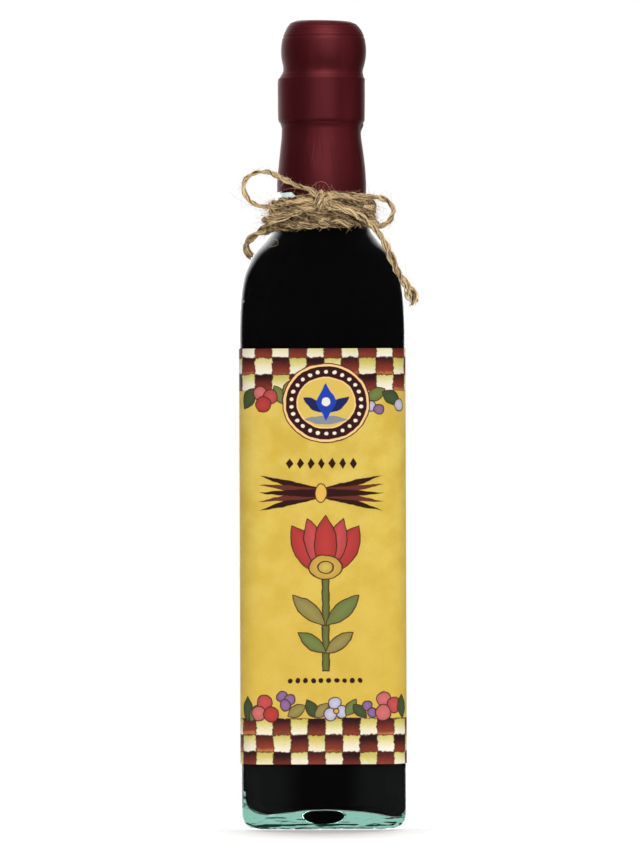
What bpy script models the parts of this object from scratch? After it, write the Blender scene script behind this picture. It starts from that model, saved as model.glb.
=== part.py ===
"""Sealed square glass bottle of dark extract with a shrink capsule, a wrap-round label and a twine bow.

Metres, +Z up. The origin is on the ground under the middle of the bottle, and the front faces -Y.
"""

import math

import bmesh
import bpy
from mathutils import Vector

MM = 0.001
GAP = 0.30 * MM  # between pieces that touch

# Driving dimensions of the glass
BODY_HALF = 28.8 * MM
CORNER_RADIUS = 8.3 * MM
WALL = 3.0 * MM
HEEL_WIDTH = 4.4 * MM
HEEL_HEIGHT = 5.4 * MM
CAVITY_HEEL_WIDTH = 1.6 * MM
CAVITY_HEEL_HEIGHT = 2.4 * MM
DIMPLE_RADIUS = 11.0 * MM  # round push-up in the middle of the flat underside
DIMPLE_DEPTH = 6.4 * MM
FLOOR_EDGE_Z = 5.8 * MM
FLOOR_MIDDLE_Z = 9.1 * MM
BORE_RADIUS = 10.2 * MM
NECK_ROWS_FROM_Z = 229.0 * MM  # above this the neck follows the capsule's outline
MOUTH_Z = 261.0 * MM
FILL_Z = 212.6 * MM

# Driving dimensions of what is put on it
CAPSULE_THICKNESS = 0.30 * MM
COLLAR_TOP_Z = 260.8 * MM
TOTAL_HEIGHT = 282.5 * MM
TOP_FLAT_RADIUS = 9.5 * MM
LABEL_BOTTOM_Z = 22.9 * MM
LABEL_TOP_Z = 167.4 * MM
LABEL_THICKNESS = 0.18 * MM
LABEL_GAP = 0.15 * MM
TWINE_DIAMETER = 1.9 * MM
WRAP_DIAMETER = 2.0 * MM

# How finely the round shapes are cut
CORNER_STEPS = 10
STEPS_AROUND = 4 * CORNER_STEPS
HEEL_STEPS = 5
SHOULDER_ROWS_BETWEEN = 2
DIMPLE_RING_SHARES = (0.3, 0.6, 0.85)  # of the dimple's radius
FLOOR_RING_SHARES = (0.12, 0.45, 0.8)  # of the cavity floor's half width
FLOOR_ROUNDNESS = 0.6  # corner radius of those floor rings, as a share of their half width
WRAP_POINTS = 32
CORD_POINT_SPACING = 2.9 * MM
CORD_SIDES_RESOLUTION = 2

# Outer form of the glass above the body: height, half width, corner radius, in mm.
# The corner radius grows to the half width where the shoulder has turned into the round neck.
SHOULDER = (
    (166.0, 28.8, 8.3),
    (175.0, 28.8, 8.4),
    (183.4, 28.45, 9.0),
    (189.7, 27.8, 10.4),
    (193.8, 26.9, 11.6),
    (197.8, 25.3, 12.9),
    (201.5, 23.3, 14.4),
    (205.7, 19.8, 15.6),
    (209.2, 17.3, 16.2),
    (213.0, 15.95, 15.95),
    (217.8, 15.4, 15.4),
    (220.8, 15.0, 15.0),
)
# Form of the cavity above the straight walls, in the same terms
CAVITY_SHOULDER = (
    (164.0, 25.8, 5.3),
    (174.0, 25.7, 5.5),
    (183.4, 24.9, 6.4),
    (190.5, 22.9, 8.5),
    (196.0, 20.2, 10.2),
    (200.8, 16.6, 11.2),
    (205.0, 13.2, 11.4),
    (209.0, 11.2, 11.2),
    (214.0, 10.4, 10.4),
)
# Outline of the capsule from its lower edge up: height, radius, in mm
CAPSULE_OUTLINE = (
    (221.6, 15.65),
    (225.7, 15.65),
    (230.0, 15.35),
    (234.2, 14.9),
    (238.4, 14.4),
    (241.2, 14.05),
    (243.8, 13.9),
    (245.4, 14.0),
    (246.9, 14.7),
    (248.2, 15.2),
    (260.8, 15.3),
    (262.2, 15.05),
    (263.7, 14.3),
    (265.1, 14.0),
    (266.6, 14.2),
    (269.2, 14.75),
    (271.8, 14.95),
    (274.4, 14.8),
    (276.6, 14.4),
    (278.6, 13.65),
    (280.4, 12.65),
    (281.7, 11.5),
)

# Twine: the turns on the neck and the knot in front of them
WRAP_SIDE_HEIGHTS = (219.2 * MM, 216.9 * MM, 214.6 * MM, 212.3 * MM, 210.0 * MM)
WRAP_FRONT_LIFT = 0.9 * MM
WRAP_TILT = 1.1 * MM
KNOT_CENTRE = (-0.7 * MM, -20.5 * MM, 218.8 * MM)
KNOT_HALF_SIZES = (2.2 * MM, 2.1 * MM, 3.4 * MM)
KNOT_BAND_RISE = 0.14
KNOT_BAND_WIDTH = 0.45

# Routes of the free twine, in mm, from the knot outwards
LEFT_LOOP = (
    (-2.6, -20.2, 222.0), (-4.9, -20.0, 223.0), (-8.2, -18.6, 224.3), (-11.8, -16.4, 226.0),
    (-15.0, -13.8, 227.6), (-17.9, -11.4, 228.9), (-20.4, -9.9, 229.4), (-22.8, -9.0, 229.2),
    (-25.2, -8.4, 228.2), (-26.7, -8.2, 226.6), (-27.3, -8.3, 224.5), (-27.1, -8.5, 222.3),
    (-25.9, -8.8, 220.3), (-24.0, -9.3, 218.6), (-21.6, -10.1, 217.5), (-18.4, -11.8, 217.0),
    (-15.8, -13.6, 217.1), (-13.0, -15.6, 217.7), (-9.4, -18.1, 218.7), (-5.9, -19.8, 219.3),
    (-3.0, -20.4, 219.5),
)
LEFT_TAIL = (
    (-2.7, -20.5, 216.8), (-5.4, -20.3, 216.2), (-8.2, -19.6, 215.4), (-13.1, -18.1, 213.5),
    (-16.7, -16.9, 211.5), (-20.4, -15.9, 209.1), (-23.8, -15.4, 206.7), (-25.8, -15.3, 204.9),
    (-26.5, -15.6, 203.0), (-25.9, -16.2, 201.2), (-24.6, -16.9, 199.6),
)
RIGHT_LOOP = (
    (1.9, -20.2, 221.4), (6.6, -19.7, 220.7), (12.3, -16.9, 220.1), (15.2, -14.8, 219.9),
    (18.1, -12.7, 220.2), (21.0, -11.0, 219.9), (23.3, -10.0, 218.8), (24.8, -9.6, 216.8),
    (24.9, -9.8, 214.6), (24.0, -10.4, 212.5), (22.4, -11.2, 211.0), (20.2, -12.3, 210.2),
    (17.9, -13.7, 210.7), (15.1, -15.5, 212.2), (11.3, -17.8, 214.3), (8.0, -19.3, 216.3),
    (5.2, -20.2, 217.9), (2.9, -20.5, 218.8),
)
RIGHT_TAIL = (
    (2.3, -21.3, 216.4), (5.3, -22.5, 216.6), (9.5, -21.9, 215.3), (13.8, -20.3, 213.1),
    (16.7, -18.9, 210.8), (19.0, -18.1, 208.4), (21.0, -18.0, 205.8), (23.0, -18.7, 201.9),
    (24.8, -20.1, 197.9), (26.4, -21.5, 194.2), (28.3, -21.7, 190.9), (30.0, -20.9, 188.0),
    (31.6, -19.8, 185.2), (32.4, -19.2, 183.3),
)


def clear_scene():
    for obj in list(bpy.data.objects):
        bpy.data.objects.remove(obj, do_unlink=True)


def material(name, colour, roughness, metallic=0.0, transmission=0.0):
    made = bpy.data.materials.new(name)
    made.use_nodes = True
    shader = made.node_tree.nodes["Principled BSDF"]
    shader.inputs["Base Color"].default_value = (*colour, 1.0)
    shader.inputs["Roughness"].default_value = roughness
    shader.inputs["Metallic"].default_value = metallic
    shader.inputs["Transmission Weight"].default_value = transmission
    return made


def add_object(name, data, finish):
    obj = bpy.data.objects.new(name, data)
    obj.data.materials.append(finish)
    bpy.context.scene.collection.objects.link(obj)
    return obj


def shade_round(mesh, angle=math.radians(40)):
    mesh.shade_smooth()
    mesh.set_sharp_from_angle(angle=angle)


def smooth_rows(stations, rows_between):
    """Rows on a smooth curve through stations given in mm, rows_between of them to each stretch."""
    points = [Vector(s) if len(s) == 3 else Vector((*s, 0.0)) for s in stations]
    ends = [2 * points[0] - points[1], *points, 2 * points[-1] - points[-2]]
    rows = []
    for before, start, end, after in zip(ends, ends[1:], ends[2:], ends[3:]):
        for i in range(rows_between):
            t = i / rows_between
            even = 2 * start + (end - before) * t
            bend = (2 * before - 5 * start + 4 * end - after) * t * t
            turn = (3 * start - before - 3 * end + after) * t * t * t
            rows.append((even + bend + turn) * 0.5 * MM)
    rows.append(points[-1] * MM)
    return rows


def ring(half, corner, z):
    """A level rounded square, or a circle where the corner radius is the half width."""
    corner = min(corner, half)
    points = []
    for quarter in range(4):
        turn = quarter * math.pi / 2
        for step in range(CORNER_STEPS):
            angle = (step + 0.5) / CORNER_STEPS * math.pi / 2
            x = half - corner + corner * math.cos(angle)
            y = half - corner + corner * math.sin(angle)
            points.append(
                Vector((
                    x * math.cos(turn) - y * math.sin(turn),
                    x * math.sin(turn) + y * math.cos(turn),
                    z,
                ))
            )
    return points


def skin(name, rings, closed=False):
    """A mesh over rings of equal count. Its ends are filled unless the rings close on themselves."""
    bm = bmesh.new()
    rows = [[bm.verts.new(point) for point in points] for points in rings]
    pairs = list(zip(rows, rows[1:]))
    if closed:
        pairs.append((rows[-1], rows[0]))
    else:
        bm.faces.new(rows[0][::-1])
        bm.faces.new(rows[-1])
    for low, high in pairs:
        for i in range(len(low)):
            j = (i + 1) % len(low)
            bm.faces.new((low[i], low[j], high[j], high[i]))
    bmesh.ops.recalc_face_normals(bm, faces=bm.faces)
    mesh = bpy.data.meshes.new(name)
    bm.to_mesh(mesh)
    bm.free()
    shade_round(mesh)
    return mesh


def capsule_radius(z):
    """Radius of the capsule's outline at a height."""
    rows = smooth_rows(CAPSULE_OUTLINE, 4)
    for low, high in zip(rows, rows[1:]):
        if low.x <= z <= high.x:
            return low.y + (high.y - low.y) * (z - low.x) / (high.x - low.x)
    return rows[0].y if z < rows[0].x else rows[-1].y


def neck_radius(z):
    """Radius of the glass at a height on the round part of the neck."""
    rows = smooth_rows(SHOULDER, 4)
    for low, high in zip(rows, rows[1:]):
        if low.x <= z <= high.x:
            return low.y + (high.y - low.y) * (z - low.x) / (high.x - low.x)
    return capsule_radius(z) - CAPSULE_THICKNESS - GAP


def heel(half, corner, width, height, bottom_z):
    """Rings that round an edge at the foot, an elliptical quarter seen from the side."""
    rings = []
    for step in range(HEEL_STEPS):
        angle = step / HEEL_STEPS * math.pi / 2
        inset = width * (1 - math.sin(angle))
        z = bottom_z + height * (1 - math.cos(angle))
        rings.append(ring(half - inset, max(corner - inset, corner / 3), z))
    return rings


def cavity_rings(inset, top_z):
    """Rings of the hollow from the middle of its floor up to top_z, drawn in by inset."""
    half = BODY_HALF - WALL - inset
    corner = CORNER_RADIUS - WALL
    floor_half = half - CAVITY_HEEL_WIDTH
    rings = []
    for share in FLOOR_RING_SHARES:
        across = floor_half * share
        fall = (FLOOR_MIDDLE_Z - FLOOR_EDGE_Z) * share * share
        rings.append(ring(across, across * FLOOR_ROUNDNESS, FLOOR_MIDDLE_Z - fall + inset))
    rings += heel(half, corner, CAVITY_HEEL_WIDTH, CAVITY_HEEL_HEIGHT, FLOOR_EDGE_Z + inset)
    rings.append(ring(half, corner - inset, FLOOR_EDGE_Z + CAVITY_HEEL_HEIGHT + inset))
    rows = smooth_rows(CAVITY_SHOULDER, 1)
    for low, high in zip(rows, rows[1:]):
        if low.x < top_z:
            rings.append(ring(low.y - inset, low.z - inset, low.x))
        if low.x < top_z <= high.x:
            share = (top_z - low.x) / (high.x - low.x)
            last = low.lerp(high, share)
            rings.append(ring(last.y - inset, last.z - inset, last.x))
    if top_z > rows[-1].x:
        last = rows[-1]
        rings.append(ring(last.y - inset, last.z - inset, last.x))
        rings.append(ring(BORE_RADIUS - inset, BORE_RADIUS - inset, top_z))
    return rings


def build_glass():
    """Bottle from the middle of its underside, out over the heel, up to the mouth and down the cavity."""
    rings = []
    for share in DIMPLE_RING_SHARES:
        radius = DIMPLE_RADIUS * share
        rings.append(ring(radius, radius, DIMPLE_DEPTH * (1 - share ** 4)))
    rings.append(ring(DIMPLE_RADIUS, DIMPLE_RADIUS, 0.0))
    rings += heel(BODY_HALF, CORNER_RADIUS, HEEL_WIDTH, HEEL_HEIGHT, 0.0)
    rings.append(ring(BODY_HALF, CORNER_RADIUS, HEEL_HEIGHT))
    for row in smooth_rows(SHOULDER, SHOULDER_ROWS_BETWEEN):
        rings.append(ring(row.y, row.z, row.x))
    for row in smooth_rows(CAPSULE_OUTLINE, 1):
        if NECK_ROWS_FROM_Z < row.x < COLLAR_TOP_Z + GAP:
            radius = row.y - CAPSULE_THICKNESS - GAP
            rings.append(ring(radius, radius, row.x))
    lip = capsule_radius(COLLAR_TOP_Z) - CAPSULE_THICKNESS - GAP
    rings.append(ring(lip - 1.0 * MM, lip - 1.0 * MM, MOUTH_Z))
    rings += reversed(cavity_rings(0.0, MOUTH_Z))
    finish = material("pale_aqua_glass", (0.80, 0.93, 0.88), 0.02, transmission=1.0)
    return add_object("glass_bottle", skin("glass_bottle", rings), finish)


def build_liquid():
    finish = material("dark_extract", (0.006, 0.004, 0.003), 0.08)
    return add_object("vanilla_extract", skin("vanilla_extract", cavity_rings(GAP, FILL_Z)), finish)


def build_capsule():
    """Shell over the neck that is solid above the mouth, turned about the bottle's axis."""
    outside = [(row.y, row.x) for row in reversed(smooth_rows(CAPSULE_OUTLINE, 1))]
    inside = [
        (radius - CAPSULE_THICKNESS, z)
        for radius, z in reversed(outside)
        if z < COLLAR_TOP_Z
    ]
    underside_z = MOUTH_Z + GAP
    edge = capsule_radius(COLLAR_TOP_Z) - CAPSULE_THICKNESS
    profile = [(0.0, TOTAL_HEIGHT), (TOP_FLAT_RADIUS, TOTAL_HEIGHT), *outside, *inside]
    profile += [(edge, COLLAR_TOP_Z), (edge - 0.6 * MM, underside_z), (0.0, underside_z)]
    mesh = bpy.data.meshes.new("capsule")
    mesh.from_pydata(
        [(radius, 0.0, z) for radius, z in profile],
        [(i, i + 1) for i in range(len(profile) - 1)],
        [],
    )
    obj = add_object("capsule", mesh, material("burgundy_shrink_film", (0.085, 0.012, 0.017), 0.35))
    turn = obj.modifiers.new("turn", "SCREW")
    turn.axis = "Z"
    turn.steps = STEPS_AROUND
    turn.render_steps = STEPS_AROUND
    turn.use_merge_vertices = True
    turn.merge_threshold = 0.01 * MM
    turn.use_smooth_shade = True
    return obj


def build_label():
    inner = BODY_HALF + LABEL_GAP
    outer = inner + LABEL_THICKNESS
    inner_corner = CORNER_RADIUS + LABEL_GAP
    outer_corner = inner_corner + LABEL_THICKNESS
    rings = [
        ring(outer, outer_corner, LABEL_BOTTOM_Z),
        ring(outer, outer_corner, LABEL_TOP_Z),
        ring(inner, inner_corner, LABEL_TOP_Z),
        ring(inner, inner_corner, LABEL_BOTTOM_Z),
    ]
    finish = material("mustard_paper", (0.64, 0.47, 0.11), 0.75)
    return add_object("label", skin("label", rings, closed=True), finish)


def tube(name, points, radius, finish, cyclic=False):
    curve = bpy.data.curves.new(name, "CURVE")
    curve.dimensions = "3D"
    curve.bevel_depth = radius
    curve.bevel_resolution = CORD_SIDES_RESOLUTION
    curve.use_fill_caps = not cyclic
    spline = curve.splines.new("POLY")
    spline.points.add(len(points) - 1)
    for place, point in zip(spline.points, points):
        place.co = (*point, 1.0)
    spline.use_cyclic_u = cyclic
    return add_object(name, curve, finish)


def evenly(route, spacing):
    """Points at equal steps along the smooth curve through a route given in mm."""
    fine = smooth_rows(route, 12)
    lengths = [0.0]
    for start, end in zip(fine, fine[1:]):
        lengths.append(lengths[-1] + (end - start).length)
    count = max(2, round(lengths[-1] / spacing))
    points = []
    segment = 0
    for i in range(count + 1):
        wanted = lengths[-1] * i / count
        while segment < len(fine) - 2 and lengths[segment + 1] < wanted:
            segment += 1
        share = (wanted - lengths[segment]) / (lengths[segment + 1] - lengths[segment])
        points.append(fine[segment].lerp(fine[segment + 1], share))
    return points


def wrap_points(side_z):
    """One turn of twine round the neck, drawn up towards the knot at the front."""
    points = []
    for i in range(WRAP_POINTS):
        angle = 2 * math.pi * i / WRAP_POINTS
        towards_front = (1 - math.sin(angle)) / 2
        z = side_z + WRAP_FRONT_LIFT * towards_front ** 3 + WRAP_TILT * math.cos(angle)
        radius = neck_radius(z - WRAP_DIAMETER / 2) + GAP + WRAP_DIAMETER / 2
        points.append(Vector((radius * math.cos(angle), radius * math.sin(angle), z)))
    return points


def build_wraps(finish):
    for number, side_z in enumerate(WRAP_SIDE_HEIGHTS, 1):
        tube(f"twine_wrap_{number}", wrap_points(side_z), WRAP_DIAMETER / 2, finish, cyclic=True)


def build_knot(finish):
    """A rounded lump, raised where the twine passes over its middle."""
    bm = bmesh.new()
    bmesh.ops.create_uvsphere(bm, u_segments=20, v_segments=12, radius=1.0)
    for vert in bm.verts:
        vert.co *= 1 + KNOT_BAND_RISE * math.exp(-((vert.co.x / KNOT_BAND_WIDTH) ** 2))
    bmesh.ops.scale(bm, vec=KNOT_HALF_SIZES, verts=bm.verts)
    mesh = bpy.data.meshes.new("twine_knot")
    bm.to_mesh(mesh)
    bm.free()
    mesh.shade_smooth()
    knot = add_object("twine_knot", mesh, finish)
    knot.location = KNOT_CENTRE
    return knot


def build_bow(finish):
    routes = {
        "twine_loop_left": LEFT_LOOP,
        "twine_tail_left": LEFT_TAIL,
        "twine_loop_right": RIGHT_LOOP,
        "twine_tail_right": RIGHT_TAIL,
    }
    for name, route in routes.items():
        tube(name, evenly(route, CORD_POINT_SPACING), TWINE_DIAMETER / 2, finish)


def main():
    clear_scene()
    build_glass()
    build_liquid()
    build_capsule()
    build_label()
    jute = material("jute_twine", (0.40, 0.26, 0.13), 0.9)
    build_wraps(jute)
    build_knot(jute)
    build_bow(jute)


main()
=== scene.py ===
import math

import bpy
import numpy as np
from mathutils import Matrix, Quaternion, Vector


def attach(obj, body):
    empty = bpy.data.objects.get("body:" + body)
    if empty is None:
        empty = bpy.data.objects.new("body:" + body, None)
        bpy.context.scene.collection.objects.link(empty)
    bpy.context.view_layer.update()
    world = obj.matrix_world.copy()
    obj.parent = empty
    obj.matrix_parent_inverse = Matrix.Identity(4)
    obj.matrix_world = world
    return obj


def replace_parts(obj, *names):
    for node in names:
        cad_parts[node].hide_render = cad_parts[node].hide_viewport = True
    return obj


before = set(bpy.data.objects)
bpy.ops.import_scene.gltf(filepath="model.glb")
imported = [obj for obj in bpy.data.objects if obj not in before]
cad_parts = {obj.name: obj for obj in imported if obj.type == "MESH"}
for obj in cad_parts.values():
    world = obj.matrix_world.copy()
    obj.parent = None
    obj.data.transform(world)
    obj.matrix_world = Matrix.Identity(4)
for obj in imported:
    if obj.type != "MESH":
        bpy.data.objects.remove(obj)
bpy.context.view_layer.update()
mm = 0.001
print("frame loaded")


# Camera

camera = {
    "distance": 2.5,  # metres from the middle of the bottle
    "eyeHeight": 0.150,
    "sideways": -0.7 * mm,
    "aimHeight": 139.1 * mm,
    "seenHeight": 301.9 * mm,  # what the picture takes in from top to bottom at the bottle
    "filmHeight": 36.0,
    "roll": -0.2,  # degrees
}


def addCamera():
    data = bpy.data.cameras.new("camera")
    data.sensor_width = camera["filmHeight"]
    data.lens = camera["filmHeight"] * camera["distance"] / camera["seenHeight"]
    data.clip_start = 0.05
    data.clip_end = 50
    eye = bpy.data.objects.new("camera", data)
    bpy.context.scene.collection.objects.link(eye)
    eye.location = (camera["sideways"], -camera["distance"], camera["eyeHeight"])
    aim = Vector((camera["sideways"], 0, camera["aimHeight"]))
    level = (aim - eye.location).to_track_quat("-Z", "Y")
    eye.rotation_euler = (level @ Quaternion((0, 0, 1), math.radians(camera["roll"]))).to_euler()
    bpy.context.scene.camera = eye


addCamera()
print("camera placed")


# Shapes

def smoothThrough(stations, between):
    # points on a smooth curve through the stations, so many to each stretch
    points = np.array(stations, float)
    ends = np.vstack([2 * points[0] - points[1], points, 2 * points[-1] - points[-2]])
    share = np.linspace(0, 1, between, endpoint=False)[:, None]
    rows = []
    for a, b, c, d in zip(ends, ends[1:], ends[2:], ends[3:]):
        even = 2 * b + (c - a) * share
        bend = (2 * a - 5 * b + 4 * c - d) * share ** 2
        turn = (3 * b - a - 3 * c + d) * share ** 3
        rows.append((even + bend + turn) / 2)
    return np.vstack([*rows, points[-1:]])


def readCurve(stations, at):
    # the second value of the stations, read off a smooth curve at a given first value
    curve = smoothThrough(stations, 5)
    return np.interp(at, curve[:, 0], curve[:, 1])


def rise(value, start, end):
    share = np.clip((value - start) / (end - start), 0, 1)
    return share * share * (3 - 2 * share)


def hump(value, middle, width):
    return np.exp(-(((value - middle) / width) ** 2))


def runAlong(points):
    return np.concatenate([[0], np.cumsum(np.linalg.norm(np.diff(points, axis=0), axis=1))])


def evenly(points, step):
    run = runAlong(points)
    wanted = np.linspace(0, run[-1], max(3, round(run[-1] / step)) + 1)
    return np.column_stack([np.interp(wanted, run, points[:, i]) for i in range(points.shape[1])])


def unit(vectors):
    return vectors / np.linalg.norm(vectors, axis=-1, keepdims=True)


def gridFaces(rows, across, closed):
    # quads over a grid of points, row by row, that may close on itself sideways
    wide = across if closed else across - 1
    start = np.arange(rows - 1)[:, None] * across + np.arange(wide)
    beside = np.arange(rows - 1)[:, None] * across + (np.arange(wide) + 1) % across
    return np.stack([start, beside, beside + across, start + across], axis=-1).reshape(-1, 4)


def makePiece(name, points, faces, look, smoothBelow=40, values=None):
    mesh = bpy.data.meshes.new(name)
    mesh.from_pydata(np.asarray(points).tolist(), [], faces)
    mesh.shade_smooth()
    mesh.set_sharp_from_angle(angle=math.radians(smoothBelow))
    for label, numbers in (values or {}).items():
        numbers = np.asarray(numbers, np.float32)
        kind = "FLOAT" if numbers.ndim == 1 else "FLOAT_VECTOR"
        attribute = mesh.attributes.new(label, kind, "POINT")
        attribute.data.foreach_set("value" if numbers.ndim == 1 else "vector", numbers.ravel())
    mesh.materials.append(look)
    piece = bpy.data.objects.new(name, mesh)
    bpy.context.scene.collection.objects.link(piece)
    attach(piece, "root")
    return piece


# Node trees

class Wire:
    # the output of a node, which sums and products can be written with
    def __init__(self, sheet, socket):
        self.sheet = sheet
        self.socket = socket

    def __add__(self, other):
        return self.sheet.maths("ADD", self, other)

    __radd__ = __add__

    def __sub__(self, other):
        return self.sheet.maths("SUBTRACT", self, other)

    def __rsub__(self, other):
        return self.sheet.maths("SUBTRACT", other, self)

    def __mul__(self, other):
        return self.sheet.maths("MULTIPLY", self, other)

    __rmul__ = __mul__

    def __truediv__(self, other):
        return self.sheet.maths("DIVIDE", self, other)

    def __abs__(self):
        return self.sheet.maths("ABSOLUTE", self)

    def output(self, name):
        return Wire(self.sheet, self.socket.node.outputs[name])


class Sheet:
    # a node tree and the ways that nodes are added to it
    def __init__(self, tree):
        self.tree = tree

    def node(self, kind, settings=None, sockets=None):
        made = self.tree.nodes.new(kind)
        for name, value in (settings or {}).items():
            if name == "stops":
                self.setStops(made.color_ramp.elements, value)
            else:
                setattr(made, name, value)
        for key, value in (sockets or {}).items():
            if isinstance(value, Wire):
                self.tree.links.new(value.socket, made.inputs[key])
            else:
                made.inputs[key].default_value = value
        shown = [socket for socket in made.outputs if socket.enabled]
        return Wire(self, shown[0]) if shown else None

    def setStops(self, elements, stops):
        while len(elements) < len(stops):
            elements.new(1)
        for element, (place, colour) in zip(elements, stops):
            element.position = place
            element.color = colour

    def maths(self, operation, *values):
        return self.node("ShaderNodeMath", {"operation": operation}, dict(enumerate(values)))

    def least(self, a, b):
        return self.maths("MINIMUM", a, b)

    def most(self, a, b):
        return self.maths("MAXIMUM", a, b)

    def fade(self, value, start, end, low=0.0, high=1.0):
        # low below start and high above end, with an even slope between
        sockets = {"Value": value, "From Min": start, "From Max": end, "To Min": low, "To Max": high}
        return self.node("ShaderNodeMapRange", {"clamp": True}, sockets)

    def ease(self, value, start, end):
        sockets = {"Value": value, "From Min": start, "From Max": end}
        return self.node("ShaderNodeMapRange", {"interpolation_type": "SMOOTHSTEP"}, sockets)

    def blend(self, share, a, b):
        return self.node("ShaderNodeMix", {"data_type": "RGBA"}, {0: share, 6: a, 7: b})

    def ramp(self, value, stops):
        return self.node("ShaderNodeValToRGB", {"stops": stops}, {"Fac": value})

    def noise(self, place, scale, detail=2.0, rough=0.5):
        sockets = {"Vector": place, "Scale": scale, "Detail": detail, "Roughness": rough}
        return self.node("ShaderNodeTexNoise", None, sockets)

    def stretch(self, place, scale):
        return self.node("ShaderNodeVectorMath", {"operation": "MULTIPLY"}, {0: place, 1: scale})

    def grain(self, place, scales, detail):
        # noise that changes at another pace along x, y and z
        return self.noise(self.stretch(place, scales), 1.0, detail)

    def below(self, value, span):
        # 1 below the span and 0 above it
        return self.fade(value, *span, 1, 0)

    def axes(self, vector):
        split = self.node("ShaderNodeSeparateXYZ", None, {"Vector": vector})
        return split.output("X"), split.output("Y"), split.output("Z")


class Look(Sheet):
    # a material with one surface shader
    def __init__(self, name):
        self.material = bpy.data.materials.new(name)
        self.material.use_nodes = True
        super().__init__(self.material.node_tree)
        self.surface = self.tree.nodes["Principled BSDF"]
        self.end = self.tree.nodes["Material Output"]

    def finish(self, sockets):
        for name, value in sockets.items():
            if isinstance(value, Wire):
                self.tree.links.new(value.socket, self.surface.inputs[name])
            else:
                self.surface.inputs[name].default_value = value
        return self.material

    def bump(self, height, distance):
        return self.node("ShaderNodeBump", None, {"Height": height, "Distance": distance})

    def place(self):
        return self.node("ShaderNodeTexCoord").output("Object")

    def attribute(self, name, output="Fac"):
        return self.node("ShaderNodeAttribute", {"attribute_name": name}).output(output)


def tint(red, green, blue):
    # a colour as seen on a screen, 0 to 255, for a shader
    def linear(level):
        level /= 255
        return level / 12.92 if level <= 0.04045 else ((level + 0.055) / 1.055) ** 2.4
    return (linear(red), linear(green), linear(blue), 1.0)


# Twine

twine = {
    "thickness": 1.9 * mm,
    "plies": 2,
    "plyPitch": 9.5 * mm,  # length of one turn of the plies
    "plyOffset": 0.36 * mm,  # from the middle of the twine to the middle of a ply
    "plyRadius": 0.56 * mm,
    "coreRadius": 0.42 * mm,
    "fibres": 12,  # to a ply, round its core
    "fibrePitch": 17 * mm,
    "fibreRadius": 0.14 * mm,
    "fibreReach": (0.6, 1.05),  # least and most, as shares of the ply's radius
    "fibreSize": (0.6, 1.3),  # least and most, as shares of the fibre's radius
    "swings": {"swell": 0.10, "angle": 0.5, "turn": 0.5, "reach": 0.22, "radius": 0.15},
    "swingLength": 9 * mm,
    "frayCurve": 1.3,
    "frayDrift": 0.35 * mm,
    "frayThinning": 0.3,
    "frayShortening": 0.06,
    "step": 0.6 * mm,
    "sides": 4,
    "between": 24,  # points of the smooth curve to each stretch of a route
    "seeds": {"bow": 11, "turns": 30, "knot": 50},
    "plyTone": (0.4, 0.65),
    "fibreTone": (-0.45, 0.4),  # what a fibre adds to its ply's tone
    # a ply's core is near black, painted shade that shows in the gaps between its fibres
    "coreShadeTone": 0.05,
    "bowLighter": 0.22,
    "toneWeight": 1.5,
    "streakWeight": 1.3,
    "streakScale": 700,
    "darker": 0.95,
    "hairScale": 3000,
    "hairDepth": 0.03 * mm,
    "light": tint(250, 222, 172),
    "dark": tint(92, 62, 34),
}


def jute():
    look = Look("jute")
    tone = look.attribute("tone")
    place = look.place()
    streak = look.noise(place, twine["streakScale"], 3)
    shade = tone * twine["toneWeight"] + streak * twine["streakWeight"] - twine["darker"]
    colour = look.blend(look.least(look.most(shade, 0), 1), twine["dark"], twine["light"])
    bump = look.bump(look.noise(place, twine["hairScale"], 2), twine["hairDepth"])
    return look.finish({"Base Color": colour, "Roughness": 0.9, "Normal": bump, "Specular IOR Level": 0.2})


juteLook = jute()


def slowNoise(share, length, draw, closed):
    # a smooth random swing between about -1 and 1 along a length of twine, the sum of three waves
    swing = np.zeros_like(share)
    base = max(1.0, length / twine["swingLength"])
    for weight, faster in ((0.5, 0.5), (0.35, 1.0), (0.25, 2.1)):
        beats = base * faster * draw.uniform(0.8, 1.2)
        if closed:
            beats = max(1, round(beats))
        swing += weight * np.sin(2 * np.pi * (beats * share + draw.uniform()))
    return swing


def framesAlong(line, closed):
    # directions along the line and square to it that don't twist about it
    tangent = np.gradient(line, axis=0)
    if closed:
        tangent[0] = tangent[-1] = line[1] - line[-2]
    tangent = unit(tangent)
    side = np.cross(tangent[0], (0.2, 0.3, 0.93))
    across = [unit(side)]
    for direction in tangent[1:]:
        side = across[-1] - direction * np.dot(across[-1], direction)
        across.append(unit(side))
    across = np.array(across)
    up = np.cross(tangent, across)
    if closed:
        leftOver = math.atan2(across[-1] @ up[0], across[-1] @ across[0])
        turn = (-leftOver * np.linspace(0, 1, len(line)))[:, None]
        across, up = np.cos(turn) * across + np.sin(turn) * up, np.cos(turn) * up - np.sin(turn) * across
    return tangent, across, up


def tubeRings(path, radius, across, up, sides):
    angle = 2 * np.pi * np.arange(sides) / sides
    around = across[:, None, :] * np.cos(angle)[None, :, None]
    around = around + up[:, None, :] * np.sin(angle)[None, :, None]
    return path[:, None, :] + around * np.asarray(radius)[:, None, None]


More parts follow.
